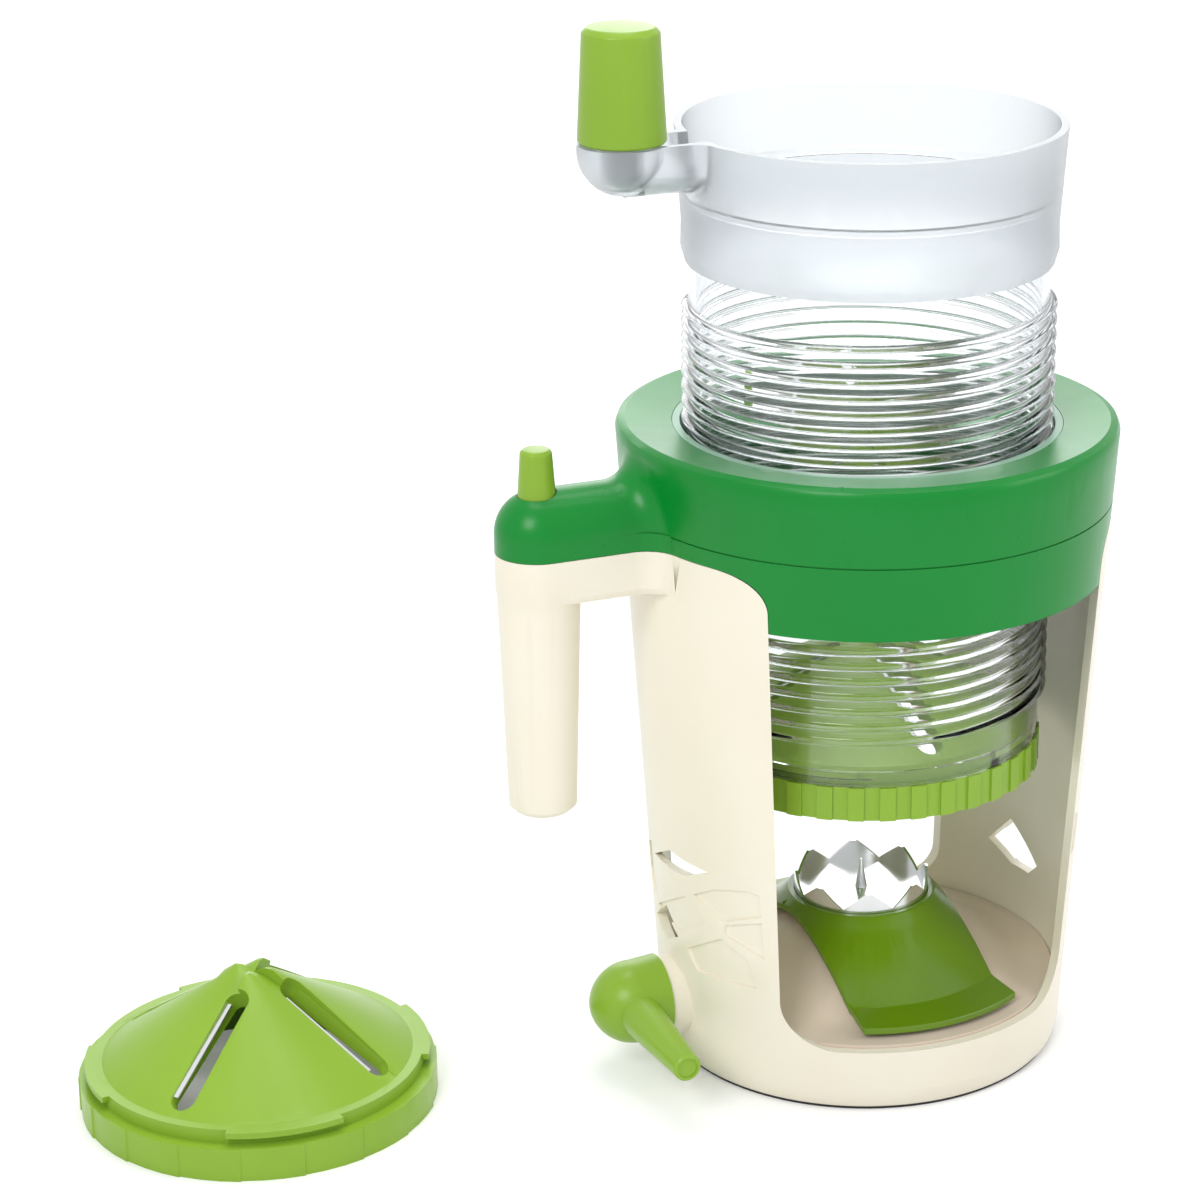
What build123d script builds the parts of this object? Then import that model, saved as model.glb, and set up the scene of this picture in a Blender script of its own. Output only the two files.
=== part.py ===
from build123d import *
import math
import os

# Upright hand-cranked spiral cutter. Millimetres, +Z up, origin at the centre
# of the foot's underside. The handle points to -X, the feed window faces -Y.

# ---- stand: one tapered tube with a window front and back ----
FOOT_R = 65.4            # hull radius carried down to z = 0
HULL_TAPER = 0.0657      # gain in hull radius per mm of height
HULL_WALL = 3.2
STAND_BOTTOM = 1.2
STAND_TOP = 181.0
BOTTOM_ROUND = 3.0
WINDOW_SILL = 21.5
WINDOW_HALF = 47.8       # half width of the window at z = 0
WINDOW_TAPER = 0.0528    # gain in half width per mm of height
WINDOW_ROUND = 16.0
WALL_TOP_ROUND = 12.0
BAND_HIGH = 0.8          # the woven bands stand this far out of their cells

# ---- handle, half inside the collar's arm ----
HANDLE_X = 110.6         # grip axis from the drum axis
HANDLE_R = 13.3
GRIP_END_R = 10.6
GRIP_END = 96.0
GRIP_END_ROUND = 3.0
GRIP_WALL = 2.6
ARM_DEPTH = 15.0         # height of the arm under the collar
ARM_UNDER = STAND_TOP - ARM_DEPTH
ARM_FILLET = 11.0
TOUCH_GAP = 0.3          # the fillet stops this far short of its tangent point
ARM_UNDER_ROUND = 3.0

# ---- floor, foot and suction works ----
FLOOR_EDGE = 22.5        # height of the floor beside the wall
FLOOR_THICK = 2.5
FOOT_RING_R = 63.4
FOOT_RING_IN = 57.0
CUP_TOP = 4.4
PLATE_THICK = 2.6
POST_STARTS = (-24.0, 15.0)
POST_THICK = 6.0
LEVER_Z = 22.5
LEVER_FACE = 72.2        # flat face of the lever's hub, from the drum axis
HUB_R = 14.0
HUB_LENGTH = 23.5
HUB_STRAIGHT = 8.5       # straight part of the hub before its dome
LEVER_REACH = 50.0
LEVER_ROOT_R = 7.6
LEVER_TIP_R = 4.4
BOSS_R = 13.0
SHAFT_R = 3.2
CAM_R = 5.0
CAM_WIDTH = 9.0
SUCTION_LIFT = 4.0

# ---- food holder ----
HOLDER_TOP = 48.6        # flat seat of the spike crown
HOLDER_THICK = 2.2
HOLDER_HALF = 26.5
HOLDER_LIP_HALF = 29.5
HOLDER_LIP_R = 59.5
HOLDER_FOLD_R = 48.0
HOLDER_TURN = 4.0        # it stands turned by a few degrees
CROWN_R = 22.0
CROWN_SHEET = 0.8
CROWN_HEIGHT = 7.5
CROWN_TEETH = 8

# ---- collar round the drum ----
SKIRT_BOTTOM = 163.3
SEAM = 187.0
COLLAR_TOP = 211.6
COLLAR_ROUND = 3.2
COLLAR_ARM_FILLET = 9.0
SHELL = 2.6
COLLAR_DISH = 1.8        # the collar's top falls this much towards the drum
BOSS_SCREW_R = 3.6       # bosses inside the collar that take the screws
BOSS_SINK = 1.0          # a boss stands this far in the wall round the liner
SEAM_GROOVE = 0.5        # shadow line between the two collar shells
SCREW_R = 1.5
SCREW_HEAD_R = 3.0
SCREW_HEAD_HIGH = 1.2
SCREW_POST_R = 4.2       # posts under the floor that take the screws
RING_IN = 58.8
RING_OUT = 61.3

# ---- threaded drum ----
NECK_R = 56.0
DRUM_WALL = 2.4
DRUM_BOTTOM = 107.6
DRUM_TOP = 281.8
LEAD = 5.0
RIB_HIGH = 2.4
RIB_BASE = 2.7
RIB_START = 120.0
RIB_TURNS = 26
RIB_PHASE = 73.0         # azimuth at which the rib starts

# ---- crank ----
RIM_R = 60.3
RIM_Z = 304.4
CRANK_FOOT_R = 58.4
CRANK_FOOT = 266.5
CRANK_BOTTOM = 262.3
CRANK_WALL = 2.5
KNOB_X = 81.5
TROUGH_HALF = 10.0
TROUGH_BOTTOM = 288.2
TROUGH_WALL = 2.2
CUP_R = 13.6
KNOB_BASE_R = 13.4
KNOB_END_R = 11.7
KNOB_LENGTH = 34.5
SPINDLE_R = 4.0

# ---- cutters ----
RING_R = NECK_R + 0.8
RING_HIGH = 11.0
PLUG_R = NECK_R - DRUM_WALL - 1.2
PLUG_HIGH = 4.5
LUG_R = PLUG_R + 2.2
LUG_ANGLE = 39.0
LUG_CENTRE = 38.0        # azimuth of a lug's middle from the nearest slot
LUG_HIGH = 2.0
LUG_PLAY = 4.0           # the entry notch is wider than the lug by this angle
CONE_LEDGE = 1.8         # step from the plug's edge to the foot of the cone
CONE_R = PLUG_R - CONE_LEDGE
BORE_R = CONE_R - 4.0    # opening under the cone
CONE_APEX = 45.0
CONE_WALL = 2.8
APEX_SHIFT = 5.0
SLOT_LENGTH = 44.0
SLOT_WIDTH = 8.5
SLOT_START = 9.0         # plan distance of the slot's inner end from the axis
SLOT_ASIDE = 0.05        # share of its width by which a slot lies beside the edge line
SLOT_SWING = -4.5        # its outer end swings this many degrees off the edge line
BLADE_THICK = 0.6
BLADE_WIDE = 5.0
BLADE_OUT = 1.8          # how far the blade's edge stands out into the slot
BLADE_SKIN = 0.5         # wall over the blade
FLUTES = 36
FLUTE_DEEP = 0.7
SPARE_STEPS = 18
STEP_DEEP = 0.5
SPARE_AT = (-198.5, 28.5)
SPARE_TURN = 45.0
STEP_PHASE = 3.5         # azimuth of the first rim step from the slot

# ---- release button and thread latch ----
BUTTON_R = 5.85
BUTTON_END_R = 4.9
BUTTON_TOP = 213.4
BUTTON_TRAVEL = 5.0
STEM_R = 3.5
FLANGE_R = 7.2
SPRING_SEAT = 178.0
SPRING_R = 5.5
SPRING_WIRE = 0.9
SPRING_TURNS = 4
LATCH_HALF = 4.0
LATCH_BITE = 0.4         # gap from the latch teeth to the neck
LATCH_PLATE = 2.0
WEDGE_SLOPE = 0.5        # latch travel per mm of button travel
WEDGE_HALF = 1.8
WEDGE_BELOW = 4.6        # the wedge ends this far under the arm's floor
LATCH_THIN = 15.6        # reach of the latch's thin end from the button's axis

RUNNING = 0.1            # radial clearance of running fits
FREE = 0.3               # clearance between bodies that only pass
SEAT = 0.05              # clearance of pieces seated in each other


def hull_r(z):
    return FOOT_R + HULL_TAPER * z


def outline(points, rounds=()):
    """Closed plane outline; rounds holds (point number, radius) pairs."""
    face = make_face(Polyline(*points, close=True)).face()
    for number, radius in rounds:
        corner = face.vertices().sort_by_distance(Vector(*points[number], 0))[0]
        face = face.fillet_2d(radius, [corner])
    return face


def turned(points, rounds=()):
    """Solid of revolution about Z from an outline given as (radius, height)."""
    return revolve(Plane.XZ * outline(points, rounds), Axis.Z)


def ring(outer, inner, low, high):
    return turned([(inner, low), (outer, low), (outer, high), (inner, high)])


def rod(radius, low, high, x=0.0, y=0.0):
    bar = Cylinder(radius, high - low, align=(Align.CENTER, Align.CENTER, Align.MIN))
    return Pos(x, y, low) * bar


def peg(radius, low, high, x=0.0, y=0.0, sides=8):
    """Upright bar with flat sides, for small screws and their holes."""
    return Pos(x, y, low) * extrude(RegularPolygon(radius, sides), amount=high - low)


def rod_x(radius, start, end, y=0.0, z=0.0):
    bar = Cylinder(radius, end - start, align=(Align.CENTER, Align.CENTER, Align.MIN))
    return Pos(start, y, z) * Rot(0, 90, 0) * bar


def block(x, y, z):
    """Box from three (low, high) pairs."""
    size = [high - low for low, high in (x, y, z)]
    return Pos(*[(a + b) / 2 for a, b in (x, y, z)]) * Box(*size)


def hull_cone(low, high, inset=0.0):
    """Solid hull between two heights, inset from the outer surface."""
    return turned([
        (0, low),
        (hull_r(low) - inset, low),
        (hull_r(high) - inset, high),
        (0, high),
    ])


def wall_opening(clearance=0.0):
    """Everything that the stand's two side walls leave open, along Y."""
    def half(z):
        return WINDOW_HALF + WINDOW_TAPER * z - clearance

    top = STAND_TOP + clearance
    far = HANDLE_X + 2 * HANDLE_R
    high = COLLAR_TOP + 10
    points = [
        (-half(WINDOW_SILL), WINDOW_SILL),
        (half(WINDOW_SILL), WINDOW_SILL),
        (half(top), top),
        (far, top),
        (far, high),
        (-far, high),
        (-far, top),
        (-half(top), top),
    ]
    corners = [(0, WINDOW_ROUND), (1, WINDOW_ROUND), (2, WALL_TOP_ROUND), (7, WALL_TOP_ROUND)]
    face = Plane.XZ * outline(points, corners)
    return extrude(face, amount=2 * far, both=True)


def arm_plan(z, inset=0.0):
    """Plan of the handle's arm where it runs into the hull, at one height."""
    radius = hull_r(z) - inset
    half = HANDLE_R - inset
    soft = ARM_FILLET + inset
    reach = math.sqrt(radius ** 2 - half ** 2)
    touch_y = (half + soft) * radius / (radius + soft)
    touch = math.sqrt(radius ** 2 - touch_y ** 2) + TOUCH_GAP
    bar = Pos(-HANDLE_X / 2, 0) * Rectangle(HANDLE_X, 2 * half)
    plan = bar + Pos(-HANDLE_X, 0) * Circle(half) + Circle(radius)
    joins = [v for v in plan.vertices() if abs(abs(v.Y) - half) < 0.01 and abs(v.X + reach) < 0.5]
    plan = plan.face().fillet_2d(soft, joins)
    keep = Pos(-HANDLE_X, 0) * Rectangle(2 * (HANDLE_X - touch), 6 * HANDLE_R)
    return Pos(0, 0, z) * ((plan & keep) - Circle(radius - HULL_WALL / 2))


def arm_body(low, high, inset=0.0):
    return loft([arm_plan(low, inset), arm_plan(high, inset)], ruled=True)


def grip(inset, low, high):
    """Tapered round grip between two heights."""
    slope = (HANDLE_R - GRIP_END_R) / (STAND_TOP - GRIP_END)
    small = GRIP_END_R + slope * (low - GRIP_END) - inset
    big = GRIP_END_R + slope * (high - GRIP_END) - inset
    cone = Cone(small, big, high - low, align=(Align.CENTER, Align.CENTER, Align.MIN))
    return Pos(-HANDLE_X, 0, low) * cone


def lattice_holes():
    """Rounded three-cornered openings of the woven band low on both side walls."""
    left = [
        [(-26, 76), (-5, 76), (13, 67), (-14, 70.5)],
        [(-7, 46), (3, 53), (14, 45), (3, 40.5)],
    ]
    right = [
        [(-1, 44), (16, 55), (25, 45), (14, 39.5), (4, 39.5)],
        [(-47, 69), (-47, 84), (-41.5, 82), (-42.5, 70)],
    ]
    tools = []
    for side, shapes in ((-1, left), (1, right)):
        for points in shapes:
            face = outline(points)
            start = side * (hull_r(0) - 4 * HULL_WALL)
            prism = extrude(Plane.YZ * face, amount=side * 8 * HULL_WALL)
            tools.append(Pos(start, 0, 0) * prism)
    return tools


def band_cells():
    """Shallow cells between the woven bands, cut into the outside of both side walls."""
    left = [
        [(15, 71), (3, 72.5), (-7.5, 65.5), (11, 55), (17, 51), (25, 57), (25, 66)],
        [(10, 50.5), (-13, 63), (-23, 57), (-8.5, 48.5)],
        [(-18, 65.5), (-28, 71), (-39, 74), (-43, 73.5), (-43, 66), (-31, 60.5), (-25, 62.5)],
        [(-31, 59.5), (-43, 64), (-43, 51), (-37.5, 53.5), (-30, 56)],
        [(-12, 44), (-29, 54), (-38, 49), (-40, 40), (-17, 38)],
        [(30, 54), (21, 48), (23, 37), (34, 33), (36, 47)],
    ]
    tools = []
    for side in (-1, 1):
        for points in left:
            turned_points = [(-side * y, z) for y, z in points]
            tools.append(extrude(Plane.YZ * outline(turned_points), amount=side * 2 * FOOT_R))
    low, high = WINDOW_SILL, STAND_TOP / 2
    return Compound(children=tools) - hull_cone(low, high, BAND_HIGH)


def stand_housing():
    low = STAND_BOTTOM
    outer = turned([
        (0, low),
        (hull_r(low) - 0.55 * BOTTOM_ROUND, low),
        (hull_r(low) - 0.15 * BOTTOM_ROUND, low + 0.5 * BOTTOM_ROUND),
        (hull_r(low + 2 * BOTTOM_ROUND), low + 2 * BOTTOM_ROUND),
        (hull_r(STAND_TOP), STAND_TOP),
        (0, STAND_TOP),
    ])
    soft = ARM_UNDER_ROUND
    arm = loft([
        arm_plan(ARM_UNDER, soft), arm_plan(ARM_UNDER + 0.3 * soft, 0.3 * soft),
        arm_plan(ARM_UNDER + soft), arm_plan(STAND_TOP),
    ], ruled=True)
    handle = grip(0, GRIP_END, STAND_TOP)
    handle = chamfer(handle.edges().sort_by(Axis.Z)[0], GRIP_END_ROUND * 0.6)
    boss = rod_x(BOSS_R, -LEVER_FACE + FREE, -hull_r(LEVER_Z) + 2 * HULL_WALL, z=LEVER_Z)
    body = outer + arm + handle + boss
    body -= wall_opening()
    body -= hull_cone(STAND_BOTTOM - 1, STAND_TOP + 1, HULL_WALL)
    ledge_high = FLOOR_EDGE - FLOOR_THICK - FREE
    body += ring(hull_r(ledge_high) - HULL_WALL / 2, hull_r(ledge_high) - 2 * HULL_WALL,
                 ledge_high - 2, ledge_high)
    body -= arm_body(ARM_UNDER + GRIP_WALL, STAND_TOP + 1, GRIP_WALL) - hull_cone(
        ARM_UNDER, STAND_TOP + 2)
    body -= grip(GRIP_WALL, GRIP_END + 2 * GRIP_WALL, STAND_TOP + 1)
    body -= rod_x(SHAFT_R + RUNNING, -LEVER_FACE, -hull_r(0) + 3 * HULL_WALL, z=LEVER_Z)
    gate = LATCH_HALF + FREE
    body -= block((-hull_r(STAND_TOP), 0), (-gate, gate), (ARM_UNDER + GRIP_WALL, STAND_TOP + 1))
    body -= band_cells()
    for tool in lattice_holes():
        body -= tool
    return body


def floor_profile(drop=0.0):
    """Floor surface as (radius, height) points from the wall to the centre."""
    seat = HOLDER_TOP - HOLDER_THICK - FREE
    rise = seat - FLOOR_EDGE
    edge = hull_r(FLOOR_EDGE - FLOOR_THICK) - HULL_WALL - FREE / 2
    return [
        (edge, FLOOR_EDGE - drop),
        (HOLDER_FOLD_R + 6, FLOOR_EDGE - drop),
        (HOLDER_FOLD_R, FLOOR_EDGE + 0.12 * rise - drop),
        (CROWN_R + 10, seat - 0.42 * rise - drop),
        (CROWN_R - 4, seat - 0.05 * rise - drop),
        (0, seat - drop),
    ]


def base_floor():
    top = floor_profile()
    bottom = floor_profile(FLOOR_THICK)
    shell = turned(top + bottom[::-1])
    tunnel_in = rod_x(SHAFT_R + 1.2, -hull_r(FLOOR_EDGE), 0, z=LEVER_Z)
    cover = rod_x(SHAFT_R + 3.2, -hull_r(FLOOR_EDGE) + HULL_WALL + 0.8, -HOLDER_FOLD_R + 4,
                  z=LEVER_Z)
    above = turned([(0, FLOOR_EDGE - FLOOR_THICK), (2 * FOOT_R, FLOOR_EDGE - FLOOR_THICK),
                    (2 * FOOT_R, 2 * HOLDER_TOP), (0, 2 * HOLDER_TOP)])
    shell += cover & above & hull_cone(0, HOLDER_TOP, HULL_WALL + FREE / 2)
    shell -= tunnel_in
    low = CUP_TOP + SEAT + PLATE_THICK
    for x, y in floor_screw_spots():
        shell += peg(SCREW_POST_R, low, FLOOR_EDGE - 1, x, y)
        shell -= peg(SCREW_R + SEAT, low - 1, FLOOR_EDGE - FLOOR_THICK - 2, x, y)
    return shell


def floor_screw_spots():
    middle = HOLDER_FOLD_R + 2
    return [(middle * math.cos(math.radians(a)), middle * math.sin(math.radians(a)))
            for a in (45, 135, 225, 315)]


def screw(head_face, length, x, y, head_up):
    """Screw with a hexagonal head; its shank runs up from the head's face."""
    head = peg(SCREW_HEAD_R, head_face - SCREW_HEAD_HIGH, head_face, x, y, sides=6)
    return head + peg(SCREW_R, head_face - head_up, head_face + length, x, y)


def base_plate():
    low = CUP_TOP + SEAT
    high = low + PLATE_THICK
    plate = ring(hull_r(low) - HULL_WALL - 1.0, 14.0, low, high)
    for start in POST_STARTS:
        plate += block((start, start + POST_THICK), (-7, 7), (high - 1, LEVER_Z + 6.5))
    plate -= rod_x(SHAFT_R + RUNNING, -30, 30, z=LEVER_Z)
    seat = low + SCREW_HEAD_HIGH + SEAT
    for x, y in floor_screw_spots():
        plate -= peg(SCREW_R + FREE, low - 1, high + 1, x, y)
        plate -= peg(SCREW_HEAD_R + SEAT, low - 1, seat, x, y, sides=6)
    return plate


def base_screws():
    face = CUP_TOP + SEAT + SCREW_HEAD_HIGH
    length = FLOOR_EDGE - FLOOR_THICK - 3 - face
    return Compound(children=[screw(face, length, x, y, 0.5) for x, y in floor_screw_spots()])


def suction_cup():
    lip = STAND_BOTTOM - SEAT
    inner = hull_r(0) - HULL_WALL - 0.6
    return turned([
        (0, 2.0), (FOOT_RING_IN, 0), (FOOT_RING_R, 0),
        (FOOT_RING_R, lip), (inner, lip), (inner, CUP_TOP), (0, CUP_TOP),
    ])


def suction_stem():
    low = CUP_TOP + SEAT
    cam_z = LEVER_Z - SUCTION_LIFT / 2
    gap = CAM_R + 0.25
    throw = SUCTION_LIFT / math.sqrt(2)
    slot_half = throw + CAM_R + FREE
    foot = rod(13.4, low, low + 2.0)
    column = rod(4.5, low + 1, cam_z - gap - 2)
    yoke_half = CAM_WIDTH / 2 - 0.6
    outside = extrude(Plane.YZ * Pos(0, cam_z) * SlotOverall(2 * slot_half + 5, 2 * gap + 5),
                      amount=yoke_half, both=True)
    inside = extrude(Plane.YZ * Pos(0, cam_z) * SlotOverall(2 * slot_half, 2 * gap),
                     amount=2 * yoke_half, both=True)
    return foot + column + outside - inside


def lever_shaft():
    start = -LEVER_FACE - 14
    shaft = rod_x(SHAFT_R, start, POST_STARTS[1] + POST_THICK, z=LEVER_Z)
    offset = SUCTION_LIFT / 2
    cam = rod_x(CAM_R, -CAM_WIDTH / 2, CAM_WIDTH / 2, y=-offset, z=LEVER_Z - offset)
    cheek = rod_x(CAM_R + offset * 0.9, -CAM_WIDTH / 2 - 2, -CAM_WIDTH / 2, z=LEVER_Z)
    flat = block((start - 1, start + 11), (SHAFT_R - 1.2, SHAFT_R + 1), (LEVER_Z - 5, LEVER_Z + 5))
    return shaft + cam + cheek - flat


def suction_lever():
    end = LEVER_FACE + HUB_LENGTH
    hub = make_face(
        Polyline((0, LEVER_FACE), (HUB_R, LEVER_FACE), (HUB_R - 0.6, LEVER_FACE + HUB_STRAIGHT))
        + ThreePointArc((HUB_R - 0.6, LEVER_FACE + HUB_STRAIGHT), (HUB_R - 4.6, end - 4.3), (0, end))
        + Line((0, end), (0, LEVER_FACE))
    )
    dome = revolve(Plane.XY * hub, Axis.Y)
    dome = Pos(0, 0, LEVER_Z) * Rot(0, 0, 90) * dome
    root = LEVER_FACE + 10.5
    pin = Cone(LEVER_ROOT_R, LEVER_TIP_R, LEVER_REACH,
               align=(Align.CENTER, Align.CENTER, Align.MIN))
    pin = chamfer(pin.edges().sort_by(Axis.Z)[-1], 0.5)
    pin -= rod(LEVER_TIP_R - 1.2, LEVER_REACH - 0.4, LEVER_REACH + 1)
    pin = Pos(-root, 0, LEVER_Z) * Rot(90, 0, 0) * pin
    body = dome + pin
    start = -LEVER_FACE - 14
    bore = rod_x(SHAFT_R + SEAT, start - FREE, -LEVER_FACE + 1, z=LEVER_Z)
    flat = block((start - 1, start + 11 - SEAT), (SHAFT_R - 1.2 + SEAT, SHAFT_R + 2),
                 (LEVER_Z - 5, LEVER_Z + 5))
    return body - (bore - flat)


def holder_plate():
    """Saddle-shaped rest: a strip of a dome with a flared lip at both ends."""
    thick = HOLDER_THICK
    fold = 28.0
    lip = 26.4
    top = [
        (0, HOLDER_TOP), (CROWN_R + 2, HOLDER_TOP), (HOLDER_HALF + 1.5, 44.4),
        (HOLDER_FOLD_R - 8, 34.8), (HOLDER_FOLD_R, fold), (HOLDER_LIP_R, lip),
    ]
    under = [(r, z - thick) for r, z in top[::-1]]
    dome = turned(top + under)
    half, wide = HOLDER_HALF, HOLDER_LIP_HALF
    knee, end = HOLDER_FOLD_R - 6, HOLDER_LIP_R + 2
    strip = outline([
        (-half, -knee), (-wide, -end), (wide, -end), (half, -knee),
        (half, knee), (wide, end), (-wide, end), (-half, knee),
    ], [(0, 15), (3, 15), (4, 15), (7, 15)])
    plate = dome & extrude(strip, amount=2 * HOLDER_TOP)
    seat = rod(CROWN_R + SEAT, HOLDER_TOP - CROWN_SHEET, HOLDER_TOP + 1)
    return Rot(0, 0, HOLDER_TURN) * (plate - seat)


def spike_crown():
    """Stainless pressing: round base, toothed rim and a spike in the middle."""
    low = HOLDER_TOP - CROWN_SHEET
    high = low + CROWN_HEIGHT
    rim = ring(CROWN_R, CROWN_R - CROWN_SHEET, low, high)
    step = 360 / CROWN_TEETH
    gap = 2 * math.pi * CROWN_R / CROWN_TEETH
    notch = outline([(-gap / 2, CROWN_HEIGHT + 1), (0, 1.6), (gap / 2, CROWN_HEIGHT + 1)])
    cutter = Pos(0, 0, low) * extrude(Plane.XZ * notch, amount=2 * CROWN_R)
    for tooth in range(CROWN_TEETH):
        rim -= Rot(0, 0, tooth * step) * cutter
    spike = Pos(0, 0, low) * Cone(2.2, 0.3, CROWN_HEIGHT + 3,
                                  align=(Align.CENTER, Align.CENTER, Align.MIN))
    crown = rim + rod(CROWN_R, low, low + CROWN_SHEET) + spike
    return Rot(0, 0, HOLDER_TURN) * crown


def collar_upper_shell():
    top = COLLAR_TOP
    edge = hull_r(top)
    soft = COLLAR_ROUND
    outer = hull_cone(SEAM, top + 2 * soft)
    arm = rod_x(HANDLE_R, -HANDLE_X, -60, z=SEAM) + Pos(-HANDLE_X, 0, SEAM) * Sphere(HANDLE_R)
    arm &= block((-2 * HANDLE_X, 0), (-2 * HANDLE_R, 2 * HANDLE_R), (SEAM, top))
    body = outer + arm
    joints = [e for e in body.edges()
              if -hull_r(top) - 2 < e.center().X < -60 and e.geom_type != GeomType.CIRCLE
              and e.center().Z > SEAM + 1 and abs(e.center().Y) < HANDLE_R + 1]
    body = fillet(joints, COLLAR_ARM_FILLET)
    above = top + 3 * soft
    dish = turned([
        (0, top - COLLAR_DISH), (RING_OUT, top - COLLAR_DISH), (edge - soft, top),
        (edge - 0.3 * soft, top - 0.3 * soft), (edge + 0.1, top - soft - 0.4),
        (edge + soft, above), (0, above),
    ])
    body -= dish
    body -= rod(RING_OUT + RUNNING, SEAM - 1, top + 1)
    inner_wall = RING_OUT + SHELL
    ceiling = top - COLLAR_DISH - SHELL
    cavity = turned([(inner_wall, SEAM - 1), (hull_r(SEAM - 1) - SHELL, SEAM - 1),
                     (hull_r(ceiling) - SHELL - 1, ceiling), (inner_wall, ceiling)])
    bore = HANDLE_R - SHELL
    tunnel = rod_x(bore, -HANDLE_X, -inner_wall - 3, z=SEAM) + Pos(-HANDLE_X, 0, SEAM) * Sphere(bore)
    body -= cavity + tunnel
    for x, y in screw_spots():
        body += peg(BOSS_SCREW_R, SEAM, ceiling + 1, x, y)
        body -= peg(SCREW_R + SEAT, SEAM - 1, SEAM + 12, x, y)
    body -= rod(BUTTON_R + 0.25, SEAM + 2, COLLAR_TOP, -HANDLE_X, 0)
    return body


def screw_spots():
    middle = RING_OUT + SHELL + BOSS_SCREW_R - BOSS_SINK
    return [(middle * math.cos(math.radians(a)), middle * math.sin(math.radians(a)))
            for a in (50, 130, 230, 310)]


def collar_lower_shell():
    sleeve_out = HULL_WALL + FREE
    flush = hull_cone(SKIRT_BOTTOM, SEAM) - hull_cone(SKIRT_BOTTOM - 1, SEAM + 1,
                                                      sleeve_out + SHELL / 2)
    flush &= wall_opening(0.2)
    sleeve = hull_cone(SKIRT_BOTTOM, SEAM, sleeve_out) - hull_cone(SKIRT_BOTTOM - 1, SEAM + 1,
                                                                   sleeve_out + SHELL)
    plate_low = SEAM - SHELL
    plate = ring(hull_r(plate_low) - 1, RING_IN + 0.4, plate_low, SEAM)
    arm = arm_body(STAND_TOP + 0.2, SEAM) - rod(hull_r(STAND_TOP) - 1, STAND_TOP, SEAM + 1)
    hollow = extrude(arm_plan(STAND_TOP, SHELL), amount=plate_low - STAND_TOP)
    arm -= hollow - rod(hull_r(SEAM), STAND_TOP - 1, SEAM)
    cup_r = SPRING_R + SPRING_WIRE + 0.8
    cup_low = SPRING_SEAT - 2
    cup = rod(cup_r + 1.8, cup_low, SEAM - 0.5, -HANDLE_X, 0)
    body = flush + sleeve + plate + arm + cup
    body -= rod(cup_r, SPRING_SEAT, SEAM + 1, -HANDLE_X, 0)
    body -= rod(STEM_R + 0.25, cup_low - 1, SEAM, -HANDLE_X, 0)
    gate = LATCH_HALF + FREE
    body -= block((-hull_r(SEAM), -RING_IN), (-gate, gate), (SKIRT_BOTTOM - 1, plate_low))
    for x, y in screw_spots():
        body -= peg(SCREW_R + FREE, plate_low - 1, SEAM + 1, x, y)
    groove = ring(hull_r(SEAM) + 2, hull_r(SEAM) - SEAM_GROOVE, SEAM - SEAM_GROOVE, SEAM + 1)
    arm_side = block((-2 * HANDLE_X, 0), (-1.5 * HANDLE_R, 1.5 * HANDLE_R), (SEAM - 2, SEAM + 2))
    return body - (groove - arm_side)


def collar_screws():
    face = SEAM - SHELL
    return Compound(children=[screw(face, SHELL + 10, x, y, 0.5) for x, y in screw_spots()])


def slip_ring():
    return turned([
        (RING_IN, SEAM + SEAT), (RING_OUT, SEAM + SEAT), (RING_OUT, COLLAR_TOP - COLLAR_DISH),
        (RING_IN, COLLAR_TOP - COLLAR_DISH),
    ])


def rib_height(azimuth_deg):
    """Height of a rib's middle at an azimuth, of the turn that starts the thread."""
    return RIB_START + LEAD * ((azimuth_deg - RIB_PHASE) % 360) / 360


def drum_tube():
    """Tube with one continuous rib wound round it as a 5 mm thread."""
    inner = NECK_R - DRUM_WALL
    tube = ring(NECK_R, inner, DRUM_BOTTOM, DRUM_TOP)
    ledge = DRUM_BOTTOM + PLUG_HIGH - LUG_HIGH - SEAT - 0.2
    tube -= ring(LUG_R + FREE, inner - 1, ledge, DRUM_BOTTOM + PLUG_HIGH + FREE)
    for quarter in range(4):
        tube -= Rot(0, 0, 90 * quarter - RIB_PHASE) * arc_block(
            inner - 1, LUG_R + FREE, LUG_ANGLE + LUG_PLAY, DRUM_BOTTOM - 1, ledge + 0.5)
    helix = Helix(LEAD, LEAD * RIB_TURNS, NECK_R, center=(0, 0, RIB_START))
    section = make_face(Polyline((-0.2, -RIB_BASE / 2), (RIB_HIGH, 0), (-0.2, RIB_BASE / 2),
                                 close=True))
    section = Plane(origin=helix @ 0, x_dir=(1, 0, 0), z_dir=(0, -1, 0)) * section
    rib = sweep(section, path=helix, is_frenet=True)
    return Rot(0, 0, RIB_PHASE) * (tube + rib)


def arc_block(inner, outer, angle, low, high):
    """Piece of a ring, centred on +X."""
    half = math.radians(angle / 2)
    points = []
    for radius in (inner, outer):
        points.append([(radius * math.cos(a), radius * math.sin(a)) for a in (-half, 0, half)])
    face = make_face(
        ThreePointArc(*points[0]) + Line(points[0][2], points[1][2])
        + ThreePointArc(*points[1][::-1]) + Line(points[1][0], points[0][0])
    )
    return Pos(0, 0, low) * extrude(face, amount=high - low)


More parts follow.
